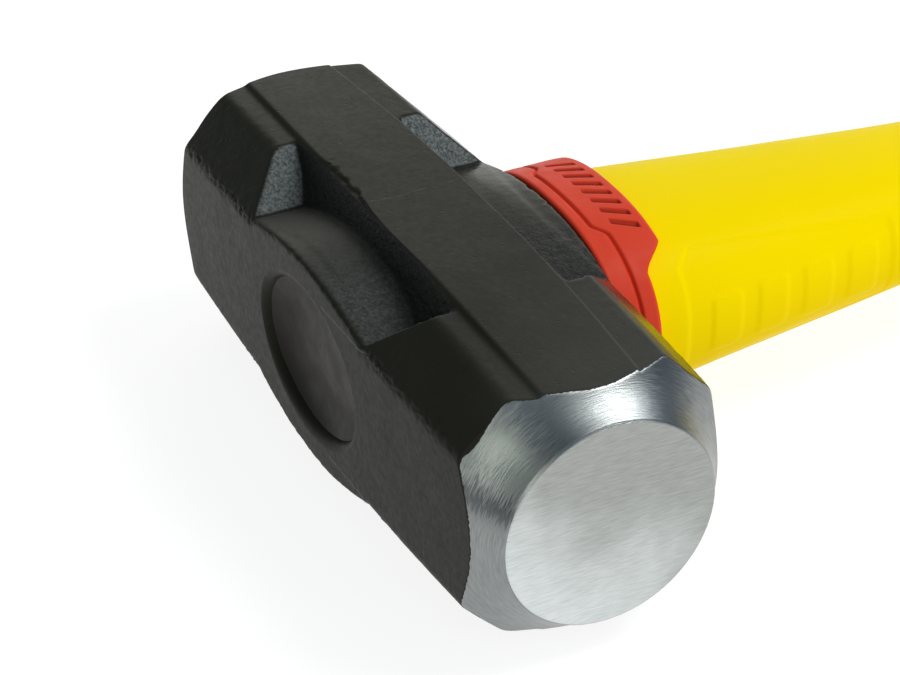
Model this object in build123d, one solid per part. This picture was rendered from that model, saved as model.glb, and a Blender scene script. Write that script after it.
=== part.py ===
from build123d import *
import os
from math import cos, pi, sin

# Sledgehammer with a forged steel head and a jacketed fibreglass handle, in millimetres.
# X runs from striking face to striking face, Y from the head to the butt of the handle
# and Z is up. The hammer lies on its lower cheek: the origin is the middle of that rest
# face, right under the middle of the eye.

# --- head ---------------------------------------------------------------------------
FACE_X = 84.0            # striking face, from the middle of the head
FACE_RADIUS = 24.2       # flat, ground striking disc
FACE_BEVEL = 0.5
SHOULDER_X = 72.8        # where the ground cove meets the eight corners of the bar
SHOULDER_RADIUS = 33.5
COVE_X = 77.3            # a point half way down the cove
COVE_RADIUS = 28.4
TOP_END, TOP_MID = 28.4, 29.8         # eye face to middle, at the shoulder and mid-length
EDGE_END, EDGE_MID = 18.0, 19.8       # half width of the eye faces
CHEEK_END, CHEEK_MID = 28.6, 31.2     # cheek to middle
CORNER_END, CORNER_MID = 18.0, 18.3   # half width of the cheeks
BAR_EDGE_RADIUS = 2.0

RIB_TOP = 32.0           # trimmed flash rib along each cheek, the hammer rests on it
RIB_END = 29.0
RIB_FLAT = 12.0          # half length of its flat middle
RIB_HALF_MID = 12.2
RIB_HALF_END = 10.7
RIB_ROOT = 20.0          # buried in the bar

EYE_BOSS_HALF = 29.6     # boss round the eye, half length along X
EYE_BOSS_TOP = 25.1      # its cheek wall, at mid-length and at its ends
EYE_BOSS_EDGE = 20.0
POCKET_X = 41.3          # relief pocket beside the boss, where its ramp runs out
POCKET_RAMP_TOP = 30.6
POCKET_FOOT = 14.0       # pocket floor to the middle, at the boss wall and at the rib
POCKET_RIM = 12.4

# --- eye, half sizes along X and Z ----------------------------------------------------
EYE_RECESS = (26.5, 19.0)
EYE_RECESS_FLOOR = (23.0, 15.8)
EYE_WAIST = (20.0, 14.0)
EYE_MOUTH = (22.4, 16.4)
RECESS_DEPTH = 4.7
SEAL_DEPTH = 3.4         # sealing ring in the handle end of the eye
RESIN_OVER_CORE = 4.0

# --- handle -----------------------------------------------------------------------------
CORE_HALF = (13.5, 9.0)
OVAL_POWER = 2.4         # 2 is an ellipse, more is squarer
OVAL_POINTS = 24
JACKET_SECTIONS = [      # y, half width, half thickness
    (30.2, 32.8, 22.8),
    (46.0, 31.1, 21.7),
    (97.0, 25.2, 17.6),
    (148.0, 20.3, 14.2),
    (205.0, 18.0, 12.8),
    (300.0, 17.2, 12.4),
    (480.0, 17.2, 12.6),
    (640.0, 17.4, 13.0),
    (740.0, 17.8, 13.4),
    (800.0, 18.4, 14.0),
    (858.0, 21.5, 16.5),
]
COLLAR_HALF = (34.7, 25.0)
COLLAR_EDGE_Y = 40.0     # outer rim, beside the tab
TAB_EDGE_Y = 46.0
TAB_HALF_OUTER = 21.4    # tab half width at its outer edge and at its root
TAB_HALF_ROOT = 27.5
GROOVE_Y = 33.5          # parting groove across the tab, and beside it
GROOVE_SIDE_Y = 36.1
GROOVE_STEP_X = (12.8, 17.3)
GROOVE_WIDTH = 0.8
GROOVE_DEPTH = 0.7

GRIP_START_Y = 640.0
GRIP_WALL = 1.6
GRIP_RINGS = 11
GRIP_RING_WALL = 2.6
GRIP_RING_LENGTH = 8.0
GRIP_RING_PITCH = 12.0
GRIP_FIRST_RING_Y = 668.0
BUTT_Y = 870.0
BUTT_PLUG_DEPTH = 16.0
BUTT_EDGE_RADIUS = 7.0

AXIS_Z = RIB_TOP                      # height of the head's middle
JACKET_START_Y = JACKET_SECTIONS[0][0]
JACKET_END_Y = JACKET_SECTIONS[-1][0]
FAR = 60.0                            # reaches past the head


def across(y):
    """Plane square to the handle at y, centred on the handle's axis."""
    return Plane(origin=(0, y, AXIS_Z), x_dir=(1, 0, 0), z_dir=(0, 1, 0))


def slab(y_start, y_end):
    """Everything between two heights along the handle."""
    size = 4 * FAR
    return Pos(0, (y_start + y_end) / 2, AXIS_Z) * Box(size, y_end - y_start, size)


def side_prism(outline, y_start, y_end):
    """Closed XZ outline, about the head's middle, run along Y."""
    face = Plane(origin=(0, y_start, AXIS_Z), x_dir=(1, 0, 0), z_dir=(0, -1, 0)) * make_face(outline)
    return extrude(face, amount=y_end - y_start, dir=(0, 1, 0))


# --- head ---------------------------------------------------------------------------


def bar_section(x, top, edge, cheek, corner):
    """Eight-sided section of the forged bar, square to X."""
    points = [(top, edge), (corner, cheek), (-corner, cheek), (-top, edge),
              (-top, -edge), (-corner, -cheek), (corner, -cheek), (top, -edge)]
    section = make_face(Polyline(*points, close=True))
    section = fillet(section.vertices(), BAR_EDGE_RADIUS)
    return Plane(origin=(x, 0, AXIS_Z), x_dir=(0, 1, 0), z_dir=(1, 0, 0)) * section


def crowned(end, middle, x):
    """Size at x of a face that is fullest at mid-length."""
    return middle - (middle - end) * (x / SHOULDER_X) ** 2


def bar():
    sections = []
    for x in (-FACE_X, 0, FACE_X):
        sections.append(bar_section(x, crowned(TOP_END, TOP_MID, x), crowned(EDGE_END, EDGE_MID, x),
                                    crowned(CHEEK_END, CHEEK_MID, x), crowned(CORNER_END, CORNER_MID, x)))
    return loft(sections)


def rib(side):
    """Flash rib along one cheek: flat in the middle, falling away towards the faces."""
    top = side * RIB_TOP
    slope_x = (RIB_FLAT + SHOULDER_X) / 2
    slope_z = side * (RIB_TOP - (RIB_TOP - RIB_END) / 4)
    end = side * RIB_END
    root = side * RIB_ROOT
    outline = [
        Line((-RIB_FLAT, top), (RIB_FLAT, top)),
        ThreePointArc((RIB_FLAT, top), (slope_x, slope_z), (SHOULDER_X, end)),
        Polyline((SHOULDER_X, end), (FACE_X, end), (FACE_X, root), (-FACE_X, root),
                 (-FACE_X, end), (-SHOULDER_X, end)),
        ThreePointArc((-SHOULDER_X, end), (-slope_x, slope_z), (-RIB_FLAT, top)),
    ]
    blank = side_prism(outline, -RIB_HALF_MID, RIB_HALF_MID)
    plan = Polyline((0, RIB_HALF_MID), (FACE_X, RIB_HALF_END), (FACE_X, -RIB_HALF_END), (0, -RIB_HALF_MID),
                    (-FACE_X, -RIB_HALF_END), (-FACE_X, RIB_HALF_END), close=True)
    trim = extrude(Pos(0, 0, AXIS_Z) * make_face(plan), amount=side * FAR)
    return blank & trim


def eye_boss():
    outline = [
        ThreePointArc((-EYE_BOSS_HALF, EYE_BOSS_EDGE), (0, EYE_BOSS_TOP), (EYE_BOSS_HALF, EYE_BOSS_EDGE)),
        Line((EYE_BOSS_HALF, EYE_BOSS_EDGE), (EYE_BOSS_HALF, -EYE_BOSS_EDGE)),
        ThreePointArc((EYE_BOSS_HALF, -EYE_BOSS_EDGE), (0, -EYE_BOSS_TOP), (-EYE_BOSS_HALF, -EYE_BOSS_EDGE)),
        Line((-EYE_BOSS_HALF, -EYE_BOSS_EDGE), (-EYE_BOSS_HALF, EYE_BOSS_EDGE)),
    ]
    return side_prism(outline, -TOP_MID, TOP_MID)


def pocket(along, up):
    """Relief beside the boss, on the side of the eye face (along) and cheek (up) given as +1 or -1."""
    outline = [
        ThreePointArc((-EYE_BOSS_HALF, up * EYE_BOSS_EDGE), (0, up * EYE_BOSS_TOP),
                      (EYE_BOSS_HALF, up * EYE_BOSS_EDGE)),
        Polyline((EYE_BOSS_HALF, up * EYE_BOSS_EDGE), (POCKET_X, up * POCKET_RAMP_TOP), (POCKET_X, up * FAR),
                 (-POCKET_X, up * FAR), (-POCKET_X, up * POCKET_RAMP_TOP), (-EYE_BOSS_HALF, up * EYE_BOSS_EDGE)),
    ]
    shape = side_prism(outline, -FAR, FAR)
    floor = Polyline((along * POCKET_FOOT, 0), (along * POCKET_FOOT, up * EYE_BOSS_TOP),
                     (along * POCKET_RIM, up * RIB_TOP), (along * POCKET_RIM, up * FAR),
                     (along * FAR, up * FAR), (along * FAR, 0), close=True)
    plane = Plane(origin=(-FAR, 0, AXIS_Z), x_dir=(0, 1, 0), z_dir=(1, 0, 0))
    return shape & extrude(plane * make_face(floor), amount=2 * FAR)


def ground_ends():
    """Solid of revolution about X that turns both coves and faces both discs."""
    cove_slope = (SHOULDER_RADIUS - COVE_RADIUS) / (COVE_X - SHOULDER_X)
    reach = 20.0
    rim_x = SHOULDER_X - reach
    rim_radius = SHOULDER_RADIUS + reach * cove_slope
    half = [
        Polyline((0, 0), (FACE_X, 0), (FACE_X, FACE_RADIUS - FACE_BEVEL), (FACE_X - FACE_BEVEL, FACE_RADIUS)),
        ThreePointArc((FACE_X - FACE_BEVEL, FACE_RADIUS), (COVE_X, COVE_RADIUS), (SHOULDER_X, SHOULDER_RADIUS)),
        Polyline((SHOULDER_X, SHOULDER_RADIUS), (rim_x, rim_radius), (0, rim_radius), (0, 0)),
    ]
    turned = revolve(make_face(half), axis=Axis.X)
    return Pos(0, 0, AXIS_Z) * (turned + mirror(turned, about=Plane.YZ))


def eye_cavity():
    """The whole eye, from the flared recess on the top face to its mouth at the handle."""
    recess_floor_y = -TOP_MID + RECESS_DEPTH
    recess = loft([across(-TOP_MID) * Ellipse(*EYE_RECESS), across(recess_floor_y) * Ellipse(*EYE_RECESS_FLOOR)])
    upper = loft([across(recess_floor_y) * Ellipse(*EYE_RECESS_FLOOR), across(0) * Ellipse(*EYE_WAIST)])
    lower = loft([across(0) * Ellipse(*EYE_WAIST), across(TOP_MID) * Ellipse(*EYE_MOUTH)])
    return recess + upper + lower


def hammer_head(cavity):
    head = bar() + rib(1) + rib(-1)
    for along in (-1, 1):
        for up in (-1, 1):
            head -= pocket(along, up)
    head += eye_boss()
    return (head & ground_ends()) - cavity


# --- handle -----------------------------------------------------------------------------


def oval(y, half_x, half_z):
    """Squarish oval section of the handle at y."""
    points = []
    for step in range(OVAL_POINTS):
        angle = 2 * pi * step / OVAL_POINTS
        reach_x = abs(cos(angle)) ** (2 / OVAL_POWER)
        reach_z = abs(sin(angle)) ** (2 / OVAL_POWER)
        points.append((half_x * (reach_x if cos(angle) > 0 else -reach_x),
                       half_z * (reach_z if sin(angle) > 0 else -reach_z)))
    return across(y) * make_face(Spline(*points, periodic=True))


def fibreglass_core():
    start_y = -TOP_MID + RECESS_DEPTH + RESIN_OVER_CORE
    end_y = JACKET_END_Y - BUTT_PLUG_DEPTH
    return extrude(across(start_y) * Ellipse(*CORE_HALF), amount=end_y - start_y)


def core_channel():
    """Bore of the jacket, which the core and the butt plug fill."""
    return extrude(across(JACKET_START_Y) * Ellipse(*CORE_HALF), amount=JACKET_END_Y - JACKET_START_Y)


def jacket_blank():
    return loft([oval(*section) for section in JACKET_SECTIONS])


def collar_outline(inset):
    """Outer body of the collar, as thick as its full size less an inset."""
    section = oval(JACKET_START_Y, COLLAR_HALF[0] - inset, COLLAR_HALF[1] - inset)
    return extrude(section, amount=TAB_EDGE_Y - JACKET_START_Y)


def plan_prism(points):
    """Closed XY outline run through the whole height."""
    face = Plane(origin=(0, 0, AXIS_Z - FAR)) * make_face(Polyline(*points, close=True))
    return extrude(face, amount=2 * FAR)


def collar_groove():
    """Parting groove round the collar, stepping towards the head across the tab."""
    inner_x, outer_x = GROOVE_STEP_X
    path = [(-FAR, GROOVE_SIDE_Y), (-outer_x, GROOVE_SIDE_Y), (-inner_x, GROOVE_Y),
            (inner_x, GROOVE_Y), (outer_x, GROOVE_SIDE_Y), (FAR, GROOVE_SIDE_Y)]
    near_edge = [(x, y - GROOVE_WIDTH / 2) for x, y in path]
    far_edge = [(x, y + GROOVE_WIDTH / 2) for x, y in reversed(path)]
    band = plan_prism(near_edge + far_edge)
    return band & (collar_outline(0) - collar_outline(GROOVE_DEPTH))


def strike_collar(jacket):
    tab = plan_prism([(-TAB_HALF_ROOT, COLLAR_EDGE_Y), (-TAB_HALF_OUTER, TAB_EDGE_Y),
                      (TAB_HALF_OUTER, TAB_EDGE_Y), (TAB_HALF_ROOT, COLLAR_EDGE_Y)])
    ring = collar_outline(0) & slab(JACKET_START_Y, COLLAR_EDGE_Y)
    return ring + (collar_outline(0) & tab) - collar_groove() - jacket


def jacket_half_sizes(y):
    """Half width and half thickness of the jacket at y, between its sections."""
    for near, far in zip(JACKET_SECTIONS, JACKET_SECTIONS[1:]):
        if y <= far[0]:
            share = (y - near[0]) / (far[0] - near[0])
            return near[1] + share * (far[1] - near[1]), near[2] + share * (far[2] - near[2])


def grip_ring(y):
    half_x, half_z = jacket_half_sizes(y)
    return extrude(oval(y, half_x + GRIP_RING_WALL, half_z + GRIP_RING_WALL), amount=GRIP_RING_LENGTH)


def grip_sleeve(jacket):
    """Tight sleeve over the jacket, with raised rings where the hand closes."""
    sections = []
    for y, half_x, half_z in JACKET_SECTIONS:
        if y >= GRIP_START_Y:
            sections.append(oval(y, half_x + GRIP_WALL, half_z + GRIP_WALL))
    rings = [grip_ring(GRIP_FIRST_RING_Y + ring * GRIP_RING_PITCH) for ring in range(GRIP_RINGS)]
    return (loft(sections) + rings) - jacket


def butt_cap():
    last = JACKET_SECTIONS[-1]
    disc = oval(JACKET_END_Y, last[1] + GRIP_WALL, last[2] + GRIP_WALL)
    cap = extrude(disc, amount=BUTT_Y - JACKET_END_Y)
    cap = fillet(cap.edges().group_by(Axis.Y)[-1], BUTT_EDGE_RADIUS)
    plug = extrude(across(JACKET_END_Y) * Ellipse(*CORE_HALF), amount=-BUTT_PLUG_DEPTH)
    return cap + plug


def main():
    cavity = eye_cavity()
    core = fibreglass_core()
    jacket = jacket_blank()
    recess_floor_y = -TOP_MID + RECESS_DEPTH
    seal_y = TOP_MID - SEAL_DEPTH
    parts = {
        "hammer_head": hammer_head(cavity),
        "eye_resin": (cavity & slab(recess_floor_y, seal_y)) - core,
        "eye_seal": (cavity & slab(seal_y, TOP_MID)) - core,
        "fibreglass_core": core,
        "handle_jacket": jacket - core_channel(),
        "strike_collar": strike_collar(jacket),
        "grip_sleeve": grip_sleeve(jacket),
        "butt_cap": butt_cap(),
    }
    os.makedirs("parts", exist_ok=True)
    for name, solid in parts.items():
        export_step(solid, f"parts/{name}.step")


main()
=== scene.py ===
import math

import bpy
import numpy as np
from mathutils import Matrix, Vector, noise


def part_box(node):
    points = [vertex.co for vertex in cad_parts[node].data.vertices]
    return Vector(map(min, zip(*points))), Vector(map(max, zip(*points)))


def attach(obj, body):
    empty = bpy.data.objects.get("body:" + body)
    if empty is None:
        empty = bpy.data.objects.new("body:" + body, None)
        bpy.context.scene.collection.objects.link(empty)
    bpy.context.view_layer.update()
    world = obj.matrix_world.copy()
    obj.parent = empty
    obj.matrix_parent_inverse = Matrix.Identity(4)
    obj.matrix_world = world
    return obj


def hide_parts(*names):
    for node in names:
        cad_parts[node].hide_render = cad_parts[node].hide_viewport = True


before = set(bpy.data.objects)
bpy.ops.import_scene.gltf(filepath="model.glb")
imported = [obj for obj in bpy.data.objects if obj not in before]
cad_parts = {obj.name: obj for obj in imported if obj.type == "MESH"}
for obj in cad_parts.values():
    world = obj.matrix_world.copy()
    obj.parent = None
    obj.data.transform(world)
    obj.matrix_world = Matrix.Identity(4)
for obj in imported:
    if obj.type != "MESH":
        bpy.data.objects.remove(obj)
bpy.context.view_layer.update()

# A sledgehammer lying on its lower cheek. Sizes are in millimetres, in the row's axes:
# X from striking face to striking face, Y from the head to the butt, Z up. MM turns
# them into metres when a mesh is made.
MM = 0.001


def node_box(node):
    """Lowest and highest corner of a CAD node, in millimetres."""
    low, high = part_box(node)
    return np.array(low) / MM, np.array(high) / MM


HEAD_LOW, HEAD_HIGH = node_box("hammer_head")
SEAL_LOW, SEAL_HIGH = node_box("eye_seal")
CORE_LOW, CORE_HIGH = node_box("fibreglass_core")
JACKET_LOW, JACKET_HIGH = node_box("handle_jacket")
COLLAR_LOW, COLLAR_HIGH = node_box("strike_collar")
GRIP_LOW, GRIP_HIGH = node_box("grip_sleeve")
CAP_LOW, CAP_HIGH = node_box("butt_cap")

# --- head sizes ---------------------------------------------------------------------
# The near end is the one at +X. In the names, END is at the shoulder and MID at the eye.
AXIS_Z = (HEAD_LOW[2] + HEAD_HIGH[2]) / 2
FACE_X = HEAD_HIGH[0]
FACE_RADIUS = 23.9
FACE_BEVEL = 0.3
COVE_X = 77.3
COVE_RADIUS = 28.4
SHOULDER_X = 72.8
SHOULDER_RADIUS = 33.5
DISC_SHIFT = 0.15        # how far the near disc was ground off the head's axis
FAR_END_EXTRA = 1.2      # how much less the far end was ground along the head
FAR_RIB_RISE = 1.0       # how much less the ribs were trimmed at the far end
FAR_CHEEK_RISE = 0.8     # how much fuller the cheeks are there
CORNER_TURN = 51         # degrees from the upper cheek to the corner away from the handle
CORNER_SPREAD = 7        # degrees either way in which the coves bite deeper there
CORNER_CUT = 0.5
TOP_END, TOP_END_HANDLE, TOP_MID = 28.4, 29.2, HEAD_HIGH[1]     # flat sides: half width
EDGE_END, EDGE_MID = 18.0, 19.8          # half height of those sides
CHEEK_END, CHEEK_MID = 28.6, 31.2        # cheeks: half height
CORNER_END, CORNER_MID = 18.0, 18.3      # half width of the cheeks
RIB_TOP = (HEAD_HIGH[2] - HEAD_LOW[2]) / 2
RIB_END = 29.0
RIB_FLAT = 12.0
RIB_HALF_MID, RIB_HALF_END = 12.2, 10.7
RIB_NICK, RIB_NICK_X, RIB_NICK_REACH = 1.2, -14, 13     # a stretch where the ribs' -Y edges stand back
BOSS_HALF, BOSS_TOP, BOSS_EDGE = 29.6, 25.1, 20.0
RAMP_X, RAMP_TOP = 41.3, 30.6
POCKET_FOOT, POCKET_RIM = 14.0, 12.4
EYE_RECESS, EYE_FLOOR = (26.5, 19.0), (23.0, 15.8)
EYE_WAIST, EYE_MOUTH = (20.0, 14.0), (22.4, 16.4)
RECESS_DEPTH = 4.7
EYE_LIP = 1.7            # how far the mouth of the recess flares
FILLET_FOOT, FILLET_RISE = 6.0, 3.6      # resin drawn up the wall of the recess
SWELL, RIPPLE, HAMMERED = 0.11, 0.012, 0.05      # heights of the marks left by forging
TEAR_UPPER, TEAR_LOWER, DENT, GRIT = 0.48, 0.16, 0.7, 0.24
QUARTER_ANGLES, HALF_STATIONS = 128, 190  # mesh cells in a quarter turn, and rings in half the head

# --- handle sizes -------------------------------------------------------------------
ELLIPSE, OVAL_POWER = 2.0, 2.4           # how square a section is
JACKET_SECTIONS = [      # y, half width, half thickness
    (30.2, 32.8, 22.8),
    (46.0, 31.1, 21.7),
    (97.0, 25.2, 17.6),
    (148.0, 20.3, 14.2),
    (205.0, 18.0, 12.8),
    (300.0, 17.2, 12.4),
    (480.0, 17.2, 12.6),
    (640.0, 17.4, 13.0),
    (740.0, 17.8, 13.4),
    (800.0, 18.4, 14.0),
    (858.0, 21.5, 16.5),
]
COLLAR_HALF = (34.7, 25.0)
COLLAR_EDGE_Y = 40.7
TAB_EDGE_Y = COLLAR_HIGH[1] + 0.6
TAB_HALF_OUTER, TAB_HALF_ROOT = 21.4, 27.5
GROOVE_Y, GROOVE_SIDE_Y = 33.5, 36.1
GROOVE_STEP_X = (12.8, 17.3)
CORE_HALF = (CORE_HIGH[0], (CORE_HIGH[2] - CORE_LOW[2]) / 2)
PANEL_START, PANEL_END = 49.0, 109.0      # shallow panel on each side of the jacket
PANEL_TOP_X = 20.0
PANEL_LEAN = 5.0
PANEL_DEPTH = 0.34
PAD_FIRST, PAD_PITCH, PAD_COUNT = 60.5, 13.0, 4   # low raised pads in that panel, along Y
PAD_HALF = (4.6, 7.5)                             # half length along Y, half width round the side
PAD_RISE = 0.28
BAR_MIDDLE_Y = 41.2      # slanted bars on the collar's tab
BAR_PITCH = 4.3
BAR_HALF = 0.75
BAR_REACH = 3.1
BAR_SPAN = 17.5
GRIP_WALL, GRIP_RING_WALL = 1.6, 2.6
GRIP_RINGS = 11
GRIP_RING_LENGTH, GRIP_RING_PITCH = 8.0, 12.0
GRIP_FIRST_RING_Y = 668.0
COLLAR_RED = (0.68, 0.050, 0.020)


# --- maths --------------------------------------------------------------------------


def soft_max(a, b, radius):
    """Larger of two fields, with the corner between them rounded off."""
    blend = np.maximum(radius - np.abs(a - b), 0) / radius
    return np.maximum(a, b) + blend * blend * radius / 4


def soft_min(a, b, radius):
    """Smaller of two fields, with the corner between them filled."""
    return -soft_max(-a, -b, radius)


def ease(low, high, value):
    """0 at low and before it, 1 at high and past it, smooth between. low may be the larger."""
    share = np.clip((value - low) / (high - low), 0, 1)
    return share * share * (3 - 2 * share)


def grain(points, scale, seed, octaves=2):
    """Perlin noise at points given in millimetres, about -1 to 1, with features of that size."""
    shift = Vector((seed * 17.3, seed * -9.1, seed * 5.7))
    values = np.empty(len(points))
    for index, point in enumerate(points):
        values[index] = noise.fractal(Vector(point) / scale + shift, 0.6, 2.1, octaves)
    return values


# --- mesh helpers -------------------------------------------------------------------


def finish_piece(piece, slot, material, *nodes):
    """Puts a piece in the place of its CAD nodes, on the root body, and gives it its material."""
    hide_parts(*nodes)
    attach(piece, "root")
    piece.data.materials.append(material)


def skin(name, rings, ends):
    """Piece over rings of points in millimetres, all with the same count.

    ends is "poles" for a body closed by a point at each end, in the middle of its first and
    last ring, or "loop" where the last ring joins the first.
    """
    rings = np.asarray(rings, float)
    count, around = rings.shape[:2]
    points = rings.reshape(-1, 3)
    faces = []
    steps = count if ends == "loop" else count - 1
    for ring in range(steps):
        here, there = ring * around, (ring + 1) % count * around
        for k in range(around):
            following = (k + 1) % around
            faces.append((here + k, here + following, there + following, there + k))
    if ends == "poles":
        first, last = len(points), len(points) + 1
        points = np.vstack([points, rings[0].mean(0), rings[-1].mean(0)])
        base = (count - 1) * around
        for k in range(around):
            following = (k + 1) % around
            faces.append((first, following, k))
            faces.append((last, base + k, base + following))
    mesh = bpy.data.meshes.new(name)
    mesh.from_pydata((points * MM).tolist(), [], faces)
    mesh.update()
    piece = bpy.data.objects.new(name, mesh)
    bpy.context.scene.collection.objects.link(piece)
    mesh.shade_smooth()
    face_outwards(mesh)
    return piece


def face_outwards(mesh):
    """Turns all faces over if the closed mesh is inside out."""
    corners = np.empty(len(mesh.vertices) * 3)
    mesh.vertices.foreach_get("co", corners)
    corners = corners.reshape(-1, 3)
    mesh.calc_loop_triangles()
    triangles = np.empty(len(mesh.loop_triangles) * 3, np.int32)
    mesh.loop_triangles.foreach_get("vertices", triangles)
    a, b, c = (corners[triangles.reshape(-1, 3)[:, k]] for k in range(3))
    if np.einsum("ij,ij->", a, np.cross(b, c)) < 0:
        mesh.flip_normals()


def positions(mesh):
    """Vertex places in millimetres."""
    values = np.empty(len(mesh.vertices) * 3)
    mesh.vertices.foreach_get("co", values)
    return values.reshape(-1, 3) / MM


def normals(mesh):
    values = np.empty(len(mesh.vertices) * 3)
    mesh.vertex_normals.foreach_get("vector", values)
    return values.reshape(-1, 3)


def move_points(mesh, points):
    mesh.vertices.foreach_set("co", (points * MM).ravel())
    mesh.update()


def paint(mesh, name, values):
    """Stores one number per vertex for the materials."""
    attribute = mesh.attributes.new(name, "FLOAT", "POINT")
    attribute.data.foreach_set("value", np.asarray(values, np.float32))


# --- head ---------------------------------------------------------------------------


def crowned(end, middle, x):
    """A half size along the head, swelling from end at the shoulders to middle at the eye."""
    return middle - (middle - end) * (x / SHOULDER_X) ** 2


def flat_half(x, y):
    """Distance from the axis to the flat sides, the handle side being the fuller one."""
    return crowned(np.where(y > 0, TOP_END_HANDLE, TOP_END), TOP_MID, x)


def boss_wall(x):
    """Half thickness of the boss round the eye, an arc in plan."""
    rise = BOSS_TOP - BOSS_EDGE
    radius = (BOSS_HALF ** 2 + rise ** 2) / (2 * rise)
    return BOSS_TOP - radius + np.sqrt(np.maximum(radius ** 2 - x ** 2, 1.0))


def uncut_sides(x, y, z):
    """Field of the octagonal bar and its ribs, before the pockets.

    Like every field here, it is below 0 inside and about the distance in millimetres.
    """
    along, across_y, up = np.abs(x), np.abs(y), np.abs(z)
    far = x < 0
    crisp = ease(-6, 6, y)      # edges are sharper on the handle side
    top, corner = crowned(TOP_END, TOP_MID, x), crowned(CORNER_END, CORNER_MID, x)
    cheek = crowned(CHEEK_END + FAR_CHEEK_RISE * far, CHEEK_MID, x)
    edge = crowned(EDGE_END, EDGE_MID, x)
    slope_y, slope_z = cheek - edge, top - corner
    chamfer = ((across_y - top) * slope_y + (up - edge) * slope_z) / np.hypot(slope_y, slope_z)
    bar = soft_max(up - cheek, chamfer, 1.6 - 1.1 * crisp)
    reach = np.maximum(along - RIB_FLAT, 0) / (SHOULDER_X - RIB_FLAT)
    rib_top = RIB_TOP - (RIB_TOP - RIB_END - FAR_RIB_RISE * far) * reach ** 2
    rib_half = crowned(RIB_HALF_END, RIB_HALF_MID, x)
    trim = RIB_NICK * np.exp(-((x - RIB_NICK_X) / RIB_NICK_REACH) ** 4) * (y < 0)
    rib = soft_max(up - rib_top, across_y - rib_half + trim, 0.8 - 0.35 * crisp)
    return soft_min(bar, rib, 2.0 - 1.4 * crisp)


def forged_sides(x, y, z):
    """Field of the bar with its pockets and the bosses round the eye, before its flat sides are cut."""
    along, across_y, up = np.abs(x), np.abs(y), np.abs(z)
    ramp = BOSS_EDGE + (along - BOSS_HALF) * (RAMP_TOP - BOSS_EDGE) / (RAMP_X - BOSS_HALF)
    floor = soft_max(boss_wall(x), ramp, 1.0)
    foot = POCKET_FOOT - (POCKET_FOOT - POCKET_RIM) * (up - BOSS_TOP) / (RIB_TOP - BOSS_TOP)
    foot = foot + 0.26 * np.maximum(BOSS_TOP - up, 0)
    pocket = soft_max(floor - up, foot - across_y, 1.3)
    bar = soft_max(uncut_sides(x, y, z), -pocket, 0.5)
    boss = soft_max(up - boss_wall(x), along - BOSS_HALF - 0.6, 2.0)
    return soft_min(bar, boss, 1.2)


def forged_field(x, y, z):
    """Field of the head as forged, before its ends are ground."""
    return soft_max(forged_sides(x, y, z), np.abs(y) - flat_half(x, y), 1.1)


def cove_radius(along):
    """Radius of the ground cove: an arc through the disc's edge, a point half-way and the shoulder."""
    corners = ((FACE_X, FACE_RADIUS), (COVE_X, COVE_RADIUS), (SHOULDER_X, SHOULDER_RADIUS))
    (x1, r1), (x2, r2), (x3, r3) = corners
    centre_x, centre_r = np.linalg.solve(
        [[x2 - x1, r2 - r1], [x3 - x1, r3 - r1]],
        [(x2 * x2 + r2 * r2 - x1 * x1 - r1 * r1) / 2, (x3 * x3 + r3 * r3 - x1 * x1 - r1 * r1) / 2])
    radius = math.hypot(x1 - centre_x, r1 - centre_r)
    safe = np.clip(along, centre_x - radius * 0.92, None)
    arc = centre_r - np.sqrt(np.maximum(radius ** 2 - (safe - centre_x) ** 2, 0))
    return arc + (safe - along) * 2.4


def corner_share(y, z):
    """1 along the bar's upper corner on the side away from the handle, down to 0 on both sides of it."""
    turn = np.degrees(np.arctan2(-y, z))
    return np.exp(-((turn - CORNER_TURN) / CORNER_SPREAD) ** 2)


def cove_field(x, y, z):
    """Field of the ground ends: the coves and the bevels round the discs."""
    along = np.abs(x)
    radius = np.hypot(y - DISC_SHIFT * ease(COVE_X, FACE_X, x), z)
    reach = along - FAR_END_EXTRA * (x < 0)
    step = 0.05
    slope = (cove_radius(reach - step) - cove_radius(reach + step)) / (2 * step)
    cove = (radius - cove_radius(reach)) / np.hypot(1, slope)
    cove = cove + CORNER_CUT * corner_share(y, z) * (1 - ease(SHOULDER_X, FACE_X, along))
    bevel = (radius - FACE_RADIUS + along - FACE_X + FACE_BEVEL) / math.sqrt(2)
    return soft_max(cove, bevel, 0.05)


def head_field(x, y, z):
    """Field of the whole head, before its eye is cut."""
    return soft_max(forged_field(x, y, z), cove_field(x, y, z), 0.3)


def spread_out(fine, density, count):
    """count places along fine, as close together as density asks."""
    run = np.concatenate([[0], np.cumsum((density[1:] + density[:-1]) / 2)])
    return np.interp(np.linspace(0, run[-1], count), run, fine)


def head_angles():
    """Angles round the head's axis, from +Z towards +Y, closer at the edges of ribs, cheeks and flats."""
    fine = np.radians(np.linspace(0, 90, 4001))
    degrees = np.degrees(fine)
    density = np.ones_like(fine)
    for edge, spread, extra in ((20.9, 1.6, 2.2), (29, 4, 0.8), (54, 5, 0.9)):
        density += extra * np.exp(-((degrees - edge) / spread) ** 2)
    quarter = spread_out(fine, density, QUARTER_ANGLES + 1)
    up, down = quarter[:-1], quarter[:0:-1]
    return np.concatenate([up, math.pi - down, math.pi + up, 2 * math.pi - down])


def head_stations():
    """Places along the head, closer at the ramps, the ground ends and the bevels."""
    fine = np.linspace(0, FACE_X, 4001)
    density = 1.0 + 1.2 * ease(68, 74, fine) + 9 * ease(FACE_X - 0.8, FACE_X - 0.5, fine)
    density += 0.6 * np.exp(-((fine - 34) / 7) ** 2)
    half = spread_out(fine, density, HALF_STATIONS)
    return np.concatenate([-half[:0:-1], half])


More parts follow.
